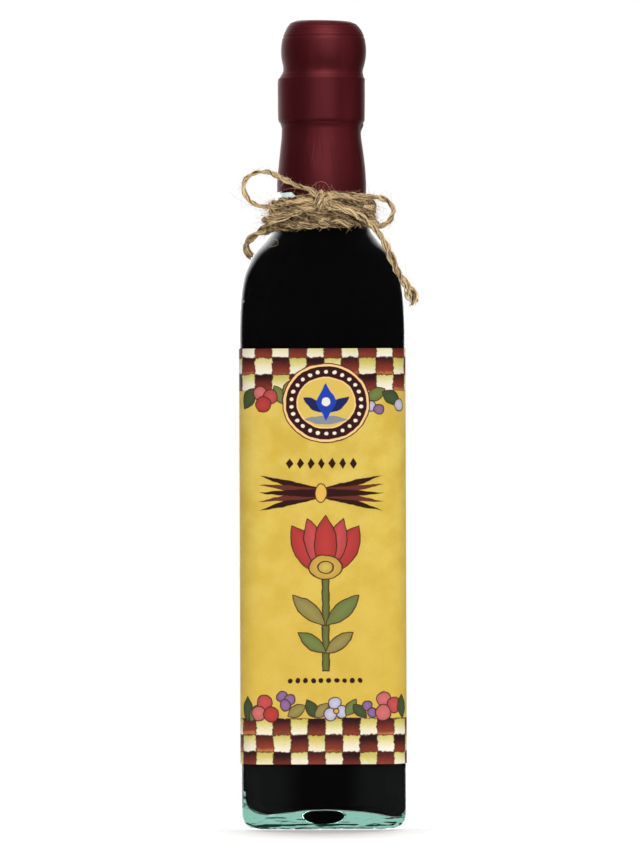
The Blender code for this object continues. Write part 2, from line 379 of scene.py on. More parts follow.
class Bundle:
    # many thin tubes gathered into one mesh
    def __init__(self):
        self.points = []
        self.faces = []
        self.tones = []
        self.count = 0

    def addTube(self, path, radius, tone, across, up, sides, closed=False):
        rings = tubeRings(path, radius, across, up, sides)
        if closed:
            rings = rings[:-1]
        rows = len(rings)
        faces = gridFaces(rows, sides, True) + self.count
        self.faces += faces.tolist()
        last = self.count + (rows - 1) * sides
        if closed:
            ring = np.arange(sides)
            beside = (ring + 1) % sides
            joint = np.stack([last + ring, last + beside, self.count + beside, self.count + ring], axis=-1)
            self.faces += joint.tolist()
        else:
            self.faces.append(list(range(self.count + sides - 1, self.count - 1, -1)))
            self.faces.append(list(range(last, last + sides)))
        self.points.append(rings.reshape(-1, 3))
        self.tones.append(np.full(rows * sides, tone))
        self.count += rows * sides

    def make(self, name):
        values = {"tone": np.concatenate(self.tones)}
        piece = makePiece(name, np.vstack(self.points), self.faces, juteLook, 60, values)
        piece.visible_glossy = False
        return piece


def addTwine(bundle, line, seed, closed=False, scale=(1.0, 1.0), fray=0.0, flare=0.0, lighter=0.0):
    # plies wound round the line, each a bunch of fibres, which come apart over the length fray at the end
    draw = np.random.default_rng(seed)
    _, across, up = framesAlong(line, closed)
    run = runAlong(line)
    length = run[-1]
    share = run / length
    apart = np.clip((run - (length - fray)) / max(fray, 1e-9), 0, 1) ** twine["frayCurve"]

    def swing(kind):
        return twine["swings"][kind] * slowNoise(share, length, draw, closed)

    plyTurns = length / twine["plyPitch"]
    fibreTurns = length / twine["fibrePitch"]
    if closed:
        plyTurns = round(plyTurns)
        fibreTurns = round(fibreTurns)
    swell = scale[0] + (scale[1] - scale[0]) * share
    swell = swell * (1 + swing("swell"))
    for ply in range(twine["plies"]):
        plyTone = draw.uniform(*twine["plyTone"])
        angle = 2 * np.pi * (ply / twine["plies"] + plyTurns * share)
        angle += swing("angle")
        cosine, sine = np.cos(angle)[:, None], np.sin(angle)[:, None]
        outward = cosine * across + sine * up
        onward = cosine * up - sine * across
        middle = line + outward * (twine["plyOffset"] * swell)[:, None]
        for fibre in range(twine["fibres"] + 1):
            core = fibre == 0
            turn = 2 * np.pi * (draw.uniform() - fibreTurns * share)
            turn += swing("turn")
            reach = 0.0 if core else twine["plyRadius"] * draw.uniform(*twine["fibreReach"])
            reach = reach * swell * (1 + swing("reach"))
            path = middle + (reach * np.cos(turn))[:, None] * outward
            path = path + (reach * np.sin(turn))[:, None] * onward
            # the core takes a near black tone, painted shade in the gaps between fibres
            radius, tone = twine["coreRadius"], twine["coreShadeTone"]
            if not core:
                radius = twine["fibreRadius"] * draw.uniform(*twine["fibreSize"])
            radius = radius * swell * (1 + swing("radius"))
            if not core:
                tone = np.clip(plyTone + draw.uniform(*twine["fibreTone"]), 0, 1)
            tone = tone + lighter
            end = len(line)
            if fray > 0:
                away = path - line
                drift = draw.normal(size=3) * twine["frayDrift"]
                path = line + away * (1 + flare * apart)[:, None] + drift * apart[:, None]
                radius = radius * (1 - twine["frayThinning"] * apart)
                end -= int(draw.uniform(0, twine["frayShortening"]) * fray / (length / len(line)))
            bundle.addTube(path[:end], radius[:end], tone, across[:end], up[:end], twine["sides"], closed)


bow = {
    "jute_loop_left": {
        "replaces": "twine_loop_left",
        "route": (
            (-2.6, -20.2, 222.0), (-4.9, -20.0, 223.0), (-8.2, -18.6, 224.3), (-11.8, -16.4, 226.0),
            (-15.0, -13.8, 227.6), (-17.9, -11.4, 228.9), (-20.4, -9.9, 229.4), (-22.8, -9.0, 229.2),
            (-25.2, -8.4, 228.2), (-26.7, -8.2, 226.6), (-27.3, -8.3, 224.5), (-27.1, -8.5, 222.3),
            (-25.9, -8.8, 220.3), (-24.0, -9.3, 218.6), (-21.6, -10.1, 217.5), (-18.4, -11.8, 217.0),
            (-15.8, -13.6, 217.1), (-13.0, -15.6, 217.7), (-9.4, -18.1, 218.7), (-5.9, -19.8, 219.3),
            (-3.0, -20.4, 219.5),
        ),
        "farEnd": "object",
        "scale": (1.0, 1.0),
        "fray": 0.0,
        "flare": 0.0,
    },
    "jute_loop_right": {
        "replaces": "twine_loop_right",
        "route": (
            (1.9, -20.2, 221.4), (6.6, -19.7, 220.7), (12.3, -16.9, 220.1), (15.2, -14.8, 219.9),
            (18.1, -12.7, 220.2), (21.0, -11.0, 219.9), (23.3, -10.0, 218.8), (24.8, -9.6, 216.8),
            (24.9, -9.8, 214.6), (24.0, -10.4, 212.5), (22.4, -11.2, 211.0), (20.2, -12.3, 210.2),
            (17.9, -13.7, 210.7), (15.1, -15.5, 212.2), (11.3, -17.8, 214.3), (8.0, -19.3, 216.3),
            (5.2, -20.2, 217.9), (2.9, -20.5, 218.8),
        ),
        "farEnd": "object",
        "scale": (1.2, 1.0),
        "fray": 0.0,
        "flare": 0.0,
    },
    "jute_tail_left": {
        "replaces": "twine_tail_left",
        "route": (
            (-2.7, -20.5, 216.8), (-5.4, -20.3, 216.2), (-8.2, -19.6, 215.4), (-13.1, -18.1, 213.5),
            (-16.7, -16.9, 211.5), (-20.4, -15.9, 209.1), (-23.8, -15.4, 206.7), (-25.8, -15.3, 204.9),
            (-26.5, -15.6, 203.0), (-25.9, -16.2, 201.2), (-24.6, -16.9, 199.6),
        ),
        "farEnd": "bare",
        "scale": (1.35, 1.5),
        "fray": 2.5 * mm,
        "flare": 0.1,
    },
    "jute_tail_right": {
        "replaces": "twine_tail_right",
        "route": (
            (2.3, -21.3, 216.4), (5.3, -22.5, 216.6), (9.5, -21.9, 215.3), (13.8, -20.3, 213.1),
            (16.7, -18.9, 210.8), (19.0, -18.1, 208.4), (21.0, -18.0, 205.8), (23.0, -18.7, 201.9),
            (24.8, -20.1, 197.9), (26.4, -21.5, 194.2), (28.3, -21.7, 190.9), (30.0, -20.9, 188.0),
            (31.6, -19.8, 185.2), (32.4, -19.2, 183.3),
        ),
        "farEnd": "bare",
        "scale": (1.15, 1.65),
        "fray": 10.0 * mm,
        "flare": 0.6,
    },
}


def addBow():
    lines = []
    for number, (name, part) in enumerate(bow.items()):
        line = evenly(smoothThrough(part["route"], twine["between"]) * mm, twine["step"])
        bundle = Bundle()
        addTwine(bundle, line, twine["seeds"]["bow"] + number, scale=part["scale"], fray=part["fray"],
                 flare=part["flare"], lighter=twine["bowLighter"])
        piece = bundle.make(name)
        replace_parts(piece, part["replaces"])
        lines.append(line)
    return lines


bowLines = addBow()


# Glass and what is in it

glass = {
    "half": 28.8,
    "corner": 8.3,
    "wall": 3.0,
    "cornerTurn": 0.75,  # how much of an inset the corner radius loses
    "leastCorner": 2.0,
    "roundest": 0.985,  # corner radius over half width where a ring counts as round
    "heelWidth": 4.4,
    "heelHeight": 5.4,
    "hollowHeel": 3.4,
    "hollowHeelWidth": 2.4,
    "dimpleRadius": 11.0,  # round push-up in the middle of the flat underside
    "dimpleDepth": 6.4,
    "dimpleCurve": 4,
    "bearingRough": 0.25,  # unevenness of the underside round the push-up
    "bearingSeed": 3,
    "floorFront": (  # distance to the right, height of the hollow's floor along its front edge
        (-28.0, 7.0), (-25.3, 6.3), (-18.8, 4.9), (-9.6, 6.3), (-0.2, 6.7), (9.2, 6.2), (16.2, 5.6),
        (22.1, 4.4), (28.0, 3.6),
    ),
    "floorRise": 2.6,  # towards the middle
    "floorReach": 22.0,
    "floorRoundness": 0.6,
    "heelFoot": 5.8,
    "bore": 10.2,
    "mouth": 261.0,
    "fill": 212.6,
    "shoulder": (  # height, half width, corner radius
        (166.0, 28.8, 8.3), (175.0, 28.8, 8.4), (183.4, 28.45, 9.0), (189.7, 27.8, 10.4),
        (193.8, 26.9, 11.6), (197.8, 25.3, 12.9), (201.5, 23.3, 14.4), (205.7, 19.8, 15.6),
        (209.2, 17.3, 16.2), (213.0, 15.95, 15.95), (217.8, 15.4, 15.4), (220.8, 15.0, 15.0),
    ),
    "hollow": (
        (164.0, 25.8, 5.3), (174.0, 25.7, 5.5), (183.4, 25.1, 6.3), (190.5, 22.9, 8.5),
        (196.0, 20.2, 10.2), (200.8, 16.6, 11.2), (205.0, 13.2, 11.4), (209.0, 11.2, 11.2),
        (214.0, 10.4, 10.4),
    ),
    # height, reach up and down, and how far the left and the right side lie to the right there
    "hollowLean": ((6.0, 11.0, 0.55, 1.1), (194.0, 9.0, 0.9, 0.9)),
    "hollowWallFrom": 17.0,
    "neckFrom": 222.0,
    "underFilm": 0.3,
    "lip": 1.0,
    "flatSteps": 6,
    "cornerSteps": 22,
    "innermost": 0.04,  # first ring of a floor or a push-up, as a share of its width
    "rows": {"floor": 14, "hollowHeel": 12, "hollowWall": 40, "hollowNeck": 12,
             "bearing": 8, "heel": 14, "wall": 46, "neck": 20},
    "tint": (0.78, 0.904, 0.871, 1.0),
    "tintDensity": 100.0,
    "ior": 1.52,
    "toExtract": 0.885,  # refraction from the glass into the liquid
    # marks, and dark dashes painted in as refracted shade, each with the noise's scale along x, y and z
    # where it has one
    "ripple": 60,
    "rippleShare": 0.12,
    "streaks": (70, 330, 60),
    "streakCut": (0.56, 0.66),
    "specks": (420, 420, 60),
    "speckCut": (0.56, 0.64),
    "underside": (0.1 * mm, 0.4 * mm),
    "foot": (0.5 * mm, 1.1 * mm),
    "depth": 0.2 * mm,
    "rough": (0.0, 0.025),
    "roughPatches": 35,
    "roughCut": (0.45, 0.75),
    # painted shade: dark dashes low on the base, painted into the glass's colour in place of refracted dark
    # streaks
    "shadeDashes": (130, 130, 1700),
    "dashCut": (0.595, 0.63),
    "dashMiddle": 1.7 * mm,  # height about which there are more of them
    "dashReach": (0.25 * mm, 0.9 * mm),
    "dashMore": 0.15,
    "dashFrom": (0.35 * mm, 0.5 * mm),
    "dashTo": (4.4 * mm, 4.8 * mm),
    "dashSkin": (26.0 * mm, 26.3 * mm),  # only the outer skin lies so far out
    "dashFront": (0, 2 * mm),  # from here back there are none
    "dashShadeTint": (0.0005, 0.004, 0.003, 1),
}

extract = {
    "drawn": 0.05,  # how far it reaches into the glass, so that no air shows between
    "middleTint": (0.0024, 0.0022, 0.0022, 1),
    # painted reflection: a grey sheen painted into the liquid's colour toward the sides (sides), below the
    # label (foot)
    "sideSheenTint": (0.0135, 0.0128, 0.0138, 1),
    "sides": (6 * mm, 17 * mm),
    "foot": (22 * mm, 24 * mm),
    "rough": 0.25,
    "mirrorRough": 0.03,
    "mirrorFrom": (0.05, 0.6),
}

capsule = {
    "outline": (  # height, radius, from the lower edge up
        (221.6, 15.65), (225.7, 15.65), (230.0, 15.35), (234.2, 14.9), (238.4, 14.4), (241.2, 14.05),
        (243.8, 13.9), (245.4, 14.0), (246.9, 14.7), (248.2, 15.2), (260.8, 15.3), (262.2, 15.05),
        (263.7, 14.3), (265.1, 14.0), (266.6, 14.2), (269.2, 14.75), (271.8, 14.95), (274.4, 14.8),
        (276.6, 14.4), (278.6, 13.65), (280.4, 12.65), (281.7, 11.5),
    ),
    "collarTop": 260.8,
    "top": 282.5,
    "topFlat": 9.5,
    "thickness": 0.3,
    "around": 160,
    "rowStep": 0.25,
    "crown": 0.0004,  # fall of the top over the square of the distance from its middle
    "headShift": 0.85,  # the head sits a little to the right on the collar
    "headFrom": (260.5, 267.5),
    "headTilt": 0.022,
    "tiltFrom": (278.0, 282.0),
    "moulded": (6.0, 11.0),  # distance from the axis over which the small forms set in
    "ringPitch": 0.95,
    "ringHeight": 0.04,
    "ringsFrom": (275.5, 278.0),
    "waves": {"count": 3, "size": 0.07, "pitch": 4.0, "from": (224.0, 232.0), "to": (243.0, 247.0)},
    # the lower edge isn't level from left to right
    "edge": {"left": 1.0, "drop": 1.9, "dropOver": (-11.5, -8.5), "climb": 1.0, "climbOver": (4.0, 15.0),
             "upTo": (221.6, 227.5)},
    "creases": (  # height, width, depth; a depth below zero stands out
        (276.8, 0.28, 0.16), (263.7, 0.30, -0.10), (262.3, 0.28, -0.09), (247.0, 0.45, 0.30),
    ),
    "tab": {"height": 245.5, "reach": 1.3, "turn": 0.09, "size": 0.6},
    # grain and wrinkles of the film, with the noise's scale along x, y and z
    "upright": (110, 110, 14),
    "level": (14, 14, 1300),
    "head": (274 * mm, 278 * mm),  # from here up the grain lies level
    "cut": (0.3, 0.7),
    "dark": (0.100, 0.0080, 0.0120, 1),
    "light": (0.150, 0.0130, 0.0190, 1),
    "rough": (0.46, 0.56),
    "metallic": 0.68,
    "wrinkles": (380, 380, 60),
    "wrinkleSlant": 35,  # degrees
    "wrinkleCut": (0.45, 0.75),
    "neckFrom": (226 * mm, 234 * mm),
    "neckTo": (240 * mm, 246 * mm),
    "grainShare": 0.4,
    "depth": 0.12 * mm,
}


def squareRing(half, corner):
    # a rounded square, or nearly a circle where the corner radius comes up to the half width
    corner = min(corner, glass["roundest"] * half)
    flat = half - corner
    side = [(half, flat * y) for y in np.linspace(-1, 1, glass["flatSteps"], endpoint=False)]
    bend = np.linspace(0, np.pi / 2, glass["cornerSteps"], endpoint=False)
    side += [(flat + corner * math.cos(a), flat + corner * math.sin(a)) for a in bend]
    side = np.array(side)
    quarters = []
    for quarter in range(4):
        cosine, sine = math.cos(quarter * np.pi / 2), math.sin(quarter * np.pi / 2)
        quarters.append(np.column_stack([side[:, 0] * cosine - side[:, 1] * sine,
                                         side[:, 0] * sine + side[:, 1] * cosine]))
    return np.vstack(quarters)


def level(half, corner, height):
    ring = squareRing(half, corner)
    return np.column_stack([ring, np.full(len(ring), height)])


def floorHeight(x, y):
    dome = np.clip(1 - (y / glass["floorReach"]) ** 2, 0, 1)
    return readCurve(glass["floorFront"], x) + glass["floorRise"] * dome


def hollowRows(grow, top):
    # the hollow from the middle of its floor up to the given height, grown outwards a little
    half = glass["half"] - glass["wall"] + grow
    corner = glass["corner"] - glass["wall"] + grow
    floorHalf = half - glass["hollowHeelWidth"]
    least = glass["leastCorner"]
    counts = glass["rows"]
    rows = []
    for share in np.linspace(glass["innermost"], 1, counts["floor"]):
        bend = floorHalf * share * glass["floorRoundness"] * (1 - share)
        ring = squareRing(floorHalf * share, max(bend, least) * share)
        rows.append(np.column_stack([ring, floorHeight(ring[:, 0], ring[:, 1]) - grow]))
    for angle in np.linspace(0, np.pi / 2, counts["hollowHeel"])[1:]:
        inset = glass["hollowHeelWidth"] * (1 - math.sin(angle))
        ring = squareRing(half - inset, max(corner - inset * glass["cornerTurn"], least))
        climb = 1 - math.cos(angle)
        base = floorHeight(ring[:, 0], ring[:, 1])
        settled = base * (1 - climb) + glass["heelFoot"] * climb
        rows.append(np.column_stack([ring, settled + glass["hollowHeel"] * climb - grow]))
    wallTop = glass["hollow"][0][0]
    for height in np.linspace(glass["hollowWallFrom"], wallTop, counts["hollowWall"], endpoint=False):
        rows.append(level(half, corner, height))
    for height, wide, bend in smoothThrough(glass["hollow"], 4):
        if height < top:
            rows.append(level(wide + grow, bend + grow, height))
    if top > glass["hollow"][-1][0]:
        for height in np.linspace(glass["hollow"][-1][0] + 2, top, counts["hollowNeck"]):
            rows.append(level(glass["bore"], glass["bore"], height))
    else:
        wide = readCurve(glass["hollow"], top) + grow
        rows.append(level(wide, wide, top))
    for row in rows:
        side = (row[:, 0] / half + 1) / 2
        for height, reach, left, right in glass["hollowLean"]:
            row[:, 0] += (left + (right - left) * side) * hump(row[:, 2], height, reach)
    return rows


def loft(rows):
    # points and faces of a closed skin over rings of equal count
    around = len(rows[0])
    points = np.vstack(rows)
    faces = gridFaces(len(rows), around, True).tolist()
    last = (len(rows) - 1) * around
    faces.append(list(range(around - 1, -1, -1)))
    faces.append(list(range(last, last + around)))
    return points, faces


def glassLook():
    look = Look("aqua glass")
    place = look.place()
    x, y, z = look.axes(place)
    ripple = look.noise(place, glass["ripple"], 1)
    streaks = look.ease(look.grain(place, glass["streaks"], 2), *glass["streakCut"])
    specks = look.ease(look.grain(place, glass["specks"], 1), *glass["speckCut"])
    underside = look.below(z, glass["underside"])
    foot = look.below(z, glass["foot"]) - underside
    # painted shade: dark dashes low on the base, painted into the colour in place of refracted dark streaks
    near = look.fade(abs(z - glass["dashMiddle"]), *glass["dashReach"], glass["dashMore"], 0)
    shadeDashes = look.ease(look.grain(place, glass["shadeDashes"], 2) + near, *glass["dashCut"])
    shadeDashes = shadeDashes * look.fade(z, *glass["dashFrom"]) * look.below(z, glass["dashTo"])
    shadeDashes = shadeDashes * look.fade(look.most(abs(x), y * -1), *glass["dashSkin"])
    shadeDashes = shadeDashes * look.below(y, glass["dashFront"])
    colour = look.blend(shadeDashes, (1, 1, 1, 1), glass["dashShadeTint"])
    height = ripple * glass["rippleShare"] + streaks * underside + specks * foot
    patches = look.noise(place, glass["roughPatches"], 3)
    rough = look.fade(patches, *glass["roughCut"], *glass["rough"])
    tinted = {"Color": glass["tint"], "Density": glass["tintDensity"]}
    absorb = look.node("ShaderNodeVolumeAbsorption", None, tinted)
    look.tree.links.new(absorb.socket, look.end.inputs["Volume"])
    return look.finish({
        "Base Color": colour, "Roughness": rough, "Transmission Weight": 1.0,
        "IOR": glass["ior"], "Normal": look.bump(height, glass["depth"]),
    })


def addGlass():
    draw = np.random.default_rng(glass["bearingSeed"])
    counts = glass["rows"]
    rows = []
    dimple = glass["dimpleRadius"]
    for share in np.linspace(glass["innermost"], 1, counts["floor"]):
        height = glass["dimpleDepth"] * (1 - share ** glass["dimpleCurve"])
        rows.append(level(dimple * share, dimple * share, height))
    bearing = glass["half"] - glass["heelWidth"]
    for share in np.linspace(0, 1, counts["bearing"], endpoint=False)[1:]:
        half = dimple + (bearing - dimple) * share
        ring = level(half, dimple + (glass["corner"] - dimple) * share, 0.0)
        ring[:, 2] = glass["bearingRough"] * draw.uniform(size=len(ring)) ** 3
        rows.append(ring)
    for angle in np.linspace(0, np.pi / 2, counts["heel"]):
        inset = glass["heelWidth"] * (1 - math.sin(angle))
        climb = glass["heelHeight"] * (1 - math.cos(angle))
        rows.append(level(glass["half"] - inset, glass["corner"] - inset * glass["cornerTurn"], climb))
    bodyTop = glass["shoulder"][0][0]
    for height in np.linspace(glass["heelHeight"] + 3, bodyTop, counts["wall"], endpoint=False):
        rows.append(level(glass["half"], glass["corner"], height))
    for height, half, corner in smoothThrough(glass["shoulder"], 5):
        rows.append(level(half, corner, height))
    inside = capsule["thickness"] + glass["underFilm"]
    for height in np.linspace(glass["neckFrom"], capsule["collarTop"], counts["neck"]):
        radius = readCurve(capsule["outline"], height) - inside
        rows.append(level(radius, radius, height))
    lip = radius - glass["lip"]
    rows.append(level(lip, lip, glass["mouth"]))
    rows += reversed(hollowRows(0.0, glass["mouth"]))
    points, faces = loft(rows)
    return makePiece("square_glass", points * mm, faces, glassLook())


def extractLook():
    look = Look("dark extract")
    x, _, z = look.axes(look.place())
    # painted reflection: the colour turns to a grey sheen toward the sides, below the label
    sides = look.ease(abs(x), *extract["sides"])
    foot = look.below(z, extract["foot"])
    colour = look.blend(sides * foot, extract["middleTint"], extract["sideSheenTint"])
    look.finish({"Base Color": colour, "Roughness": extract["rough"], "Specular IOR Level": 0.0})
    white = {"Color": (1, 1, 1, 1), "Roughness": extract["mirrorRough"]}
    mirror = look.node("ShaderNodeBsdfAnisotropic", None, white)
    share = look.node("ShaderNodeFresnel", None, {"IOR": glass["toExtract"]})
    share = look.fade(share, *extract["mirrorFrom"])
    drink = Wire(look, look.surface.outputs[0])
    both = look.node("ShaderNodeMixShader", None, {0: share, 1: drink, 2: mirror})
    look.tree.links.new(both.socket, look.end.inputs["Surface"])
    return look.material


def addExtract():
    points, faces = loft(hollowRows(extract["drawn"], glass["fill"]))
    return makePiece("extract", points * mm, faces, extractLook())


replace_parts(addGlass(), "glass_bottle")
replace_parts(addExtract(), "vanilla_extract")
print("glass and extract made")


# Turns and knot of the twine

turns = {
    "sideHeights": (219.2, 216.9, 214.6, 212.3, 210.0),
    "frontLift": 0.9,
    "tilt": 1.1,
    "gap": 0.1,
    "scale": 1.5,
    "sway": 0.3,
    "loose": 0.25,
    "phases": 6.28,
    "points": 240,
    "seed": 5,
}

knot = {
    "middle": (-0.6, -20.9, 219.2),
    "reachOut": 1.5,
    "reachUp": 2.5,
    "wide": 1.9,
    "turns": 1.8,
    "from": 1.2,  # angle of the first end
    "points": 90,
    "slant": 0.5,
    "scale": 1.25,
    "under": (
        ((-4.0, -20.0, 222.2), (-1.0, -20.6, 220.6), (1.2, -20.7, 218.6), (3.6, -20.6, 216.4)),
        ((-4.6, -20.4, 216.6), (-1.4, -20.7, 218.0), (1.0, -20.6, 220.0), (4.2, -20.0, 221.2)),
        ((-2.0, -19.6, 218.4), (-6.4, -19.9, 216.7), (-11.2, -18.0, 215.2), (-15.4, -14.6, 214.0),
         (-18.4, -9.2, 213.2), (-19.8, -3.0, 212.6), (-19.0, 2.0, 212.6)),
        ((1.6, -19.6, 218.0), (6.2, -19.9, 216.4), (10.8, -17.8, 215.8), (14.6, -14.0, 216.0),
         (17.2, -9.0, 216.6), (18.2, -3.0, 217.2), (17.4, 2.0, 217.4)),
    ),
}


def turnLine(height, draw):
    angle = np.pi / 2 + np.linspace(0, 2 * np.pi, turns["points"])
    forward = (1 - np.sin(angle)) / 2
    sway = turns["sway"] * np.sin(2 * angle + draw.uniform(0, turns["phases"]))
    z = height + turns["frontLift"] * forward ** 3 + turns["tilt"] * np.cos(angle) + sway
    across = twine["thickness"] / mm * turns["scale"] / 2
    radius = readCurve(glass["shoulder"], z - across) + turns["gap"] + across
    radius = radius + turns["loose"] * (1 + np.sin(3 * angle + draw.uniform(0, turns["phases"])))
    return evenly(np.column_stack([radius * np.cos(angle), radius * np.sin(angle), z]) * mm, twine["step"])


def addTurns():
    lines = []
    draw = np.random.default_rng(turns["seed"])
    for number, height in enumerate(turns["sideHeights"], 1):
        line = turnLine(height, draw)
        bundle = Bundle()
        seed = twine["seeds"]["turns"] + number
        addTwine(bundle, line, seed, closed=True, scale=(turns["scale"], turns["scale"]))
        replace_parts(bundle.make(f"jute_turn_{number}"), f"twine_wrap_{number}")
        lines.append(line)
    return lines


def addKnot():
    bundle = Bundle()
    turn = np.linspace(0, knot["turns"], knot["points"])
    angle = 2 * np.pi * turn + knot["from"]
    middle = knot["middle"]
    along = knot["wide"] * (turn / knot["turns"] - 0.5)
    x = middle[0] + along + knot["slant"] * np.sin(angle)
    y = middle[1] + knot["reachOut"] * np.cos(angle)
    z = middle[2] + knot["reachUp"] * np.sin(angle)
    lines = [evenly(np.column_stack([x, y, z]) * mm, twine["step"])]
    lines += [evenly(smoothThrough(route, twine["between"]) * mm, twine["step"]) for route in knot["under"]]
    for number, line in enumerate(lines):
        seed = twine["seeds"]["knot"] + number
        addTwine(bundle, line, seed, scale=(knot["scale"], knot["scale"]), lighter=twine["bowLighter"])
    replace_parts(bundle.make("jute_knot"), "twine_knot")
    return lines


turnLines = addTurns()
knotLines = addKnot()


# Loose fibres that stand off the twine

fuzz = {
    "radius": 0.042 * mm,
    "short": (0.6 * mm, 2.4 * mm),
    "long": (2.5 * mm, 6.5 * mm),
    "longShare": 0.14,
    "eachMm": {"bow": 2.6, "turns": 4.2, "knot": 4.0},
    "lean": (0.1, 1.0),  # outwards, against one along the twine
    "bend": 0.35,
    "root": 0.42,  # distance from the twine's middle over its thickness
    "tones": (0.3, 1),
    "taper": 0.5,
    "points": 6,
    "sides": 3,
    "seed": 7,
    "strayRadius": 0.035 * mm,
    "strays": (
        ((-3.8, -19.6, 222.4), (-2.6, -18.8, 224.6), (-0.6, -18.4, 225.6), (1.6, -18.6, 225.0),
         (3.4, -19.2, 222.2)),
        ((-20.4, -19.6, 206.6), (-18.6, -20.2, 205.2), (-16.2, -20.8, 205.6), (-15.2, -20.8, 204.4),
         (-16.2, -20.9, 203.2), (-18.4, -20.6, 203.0)),
    ),
}


def addFuzz(groups):
    draw = np.random.default_rng(fuzz["seed"])
    bundle = Bundle()
    for lines, hairsEachMm, scale in groups:
        for line in lines:
            tangent, across, up = framesAlong(line, False)
            for _ in range(int(runAlong(line)[-1] / mm * hairsEachMm)):
                at = draw.integers(1, len(line) - 1)
                angle = draw.uniform(0, 2 * np.pi)
                out = math.cos(angle) * across[at] + math.sin(angle) * up[at]
                if np.dot(out[:2], line[at][:2]) < 0:
                    out = -out
                way = unit(tangent[at] * draw.choice((-1, 1)) + out * draw.uniform(*fuzz["lean"]))
                reach = fuzz["long"] if draw.uniform() < fuzz["longShare"] else fuzz["short"]
                long = draw.uniform(*reach)
                bend = draw.normal(size=3) * fuzz["bend"] * long
                t = np.linspace(0, 1, fuzz["points"])[:, None]
                start = line[at] + out * twine["thickness"] * fuzz["root"] * scale
                path = start + way * long * t + bend * t * t
                _, side, top = framesAlong(path, False)
                radius = fuzz["radius"] * (1 - fuzz["taper"] * t[:, 0])
                bundle.addTube(path, radius, draw.uniform(*fuzz["tones"]), side, top, fuzz["sides"])
    for route in fuzz["strays"]:
        path = evenly(smoothThrough(route, 12) * mm, twine["step"])
        _, side, top = framesAlong(path, False)
        bundle.addTube(path, np.full(len(path), fuzz["strayRadius"]), 1.0, side, top, fuzz["sides"])
    bundle.make("jute_fuzz")


addFuzz((
    (bowLines, fuzz["eachMm"]["bow"], 1.0),
    (turnLines, fuzz["eachMm"]["turns"], turns["scale"]),
    (knotLines, fuzz["eachMm"]["knot"], 1.0),
))
print("twine made")


# Capsule


def shapeFilm(points):
    # what sets the film apart from a plain turned shape, all in mm
    x, y, z = points.T
    turn = np.arctan2(y, x)
    rings = np.sin(2 * np.pi * z / capsule["ringPitch"]) * rise(z, *capsule["ringsFrom"])
    push = capsule["ringHeight"] * rings
    for height, wide, depth in capsule["creases"]:
        push = push - depth * hump(z, height, wide)
    tab = capsule["tab"]
    push = push + tab["size"] * hump(z, tab["height"], tab["reach"]) * hump(turn, 0, tab["turn"])
    waves = capsule["waves"]
    swell = waves["size"] * np.sin(waves["count"] * turn + z / waves["pitch"])
    push = push + swell * rise(z, *waves["from"]) * (1 - rise(z, *waves["to"]))
    across = np.hypot(x, y)
    grown = 1 + push * rise(across, *capsule["moulded"]) / across
    shift = capsule["headShift"] * rise(z, *capsule["headFrom"])
    edge = capsule["edge"]
    lift = edge["left"] - edge["drop"] * rise(x, *edge["dropOver"])
    lift = lift + edge["climb"] * rise(x, *edge["climbOver"])
    lift = lift * (1 - rise(z, *edge["upTo"]))
    tilt = -capsule["headTilt"] * x * rise(z, *capsule["tiltFrom"])
    return np.column_stack([x * grown + shift, y * grown, z + lift + tilt])


def capsuleLook():
    look = Look("burgundy film")
    place = look.place()
    _, _, z = look.axes(place)
    upright = look.grain(place, capsule["upright"], 3)
    flat = look.grain(place, capsule["level"], 3)
    head = look.ease(z, *capsule["head"])
    grain = upright * (1 - head) + flat * head
    colour = look.blend(look.ease(grain, *capsule["cut"]), capsule["dark"], capsule["light"])
    rough = look.fade(grain, *capsule["cut"], *capsule["rough"])
    slant = (0, math.radians(capsule["wrinkleSlant"]), 0)
    slanted = look.node("ShaderNodeMapping", None, {
        "Vector": place, "Rotation": slant, "Scale": capsule["wrinkles"]})
    neck = look.ease(z, *capsule["neckFrom"]) * (1 - look.ease(z, *capsule["neckTo"]))
    wrinkles = look.ease(look.noise(slanted, 1.0, 2), *capsule["wrinkleCut"]) * neck
    bump = look.bump(grain * capsule["grainShare"] + wrinkles, capsule["depth"])
    surface = {"Base Color": colour, "Roughness": rough, "Normal": bump, "Metallic": capsule["metallic"]}
    return look.finish(surface)


def addCapsule():
    stations = evenly(smoothThrough(capsule["outline"], 12), capsule["rowStep"])
    angle = 2 * np.pi * np.arange(capsule["around"]) / capsule["around"]
    topRadii = np.linspace(0.5, capsule["topFlat"], 10)
    rows = [(capsule["top"] - capsule["crown"] * radius ** 2, radius) for radius in topRadii]
    rows += [(z, r) for z, r in stations[::-1]]
    rows += [(z, r - capsule["thickness"]) for z, r in stations[::6] if z < capsule["collarTop"]]
    rim = readCurve(capsule["outline"], capsule["collarTop"]) - capsule["thickness"]
    rows.append((capsule["collarTop"] + 0.1, rim - 0.6))
    rows += [(glass["mouth"] + 0.3, radius) for radius in np.linspace(11, 0.5, 6)]
    rings = []
    for height, radius in rows:
        ring = [radius * np.cos(angle), radius * np.sin(angle), np.full(len(angle), height)]
        rings.append(np.column_stack(ring))
    points, faces = loft(rings)
    faces = [face[::-1] for face in faces]
    return makePiece("shrink_capsule", shapeFilm(points) * mm, faces, capsuleLook(), 60)


film = addCapsule()
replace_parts(film, "capsule")
print("capsule made")


# Label

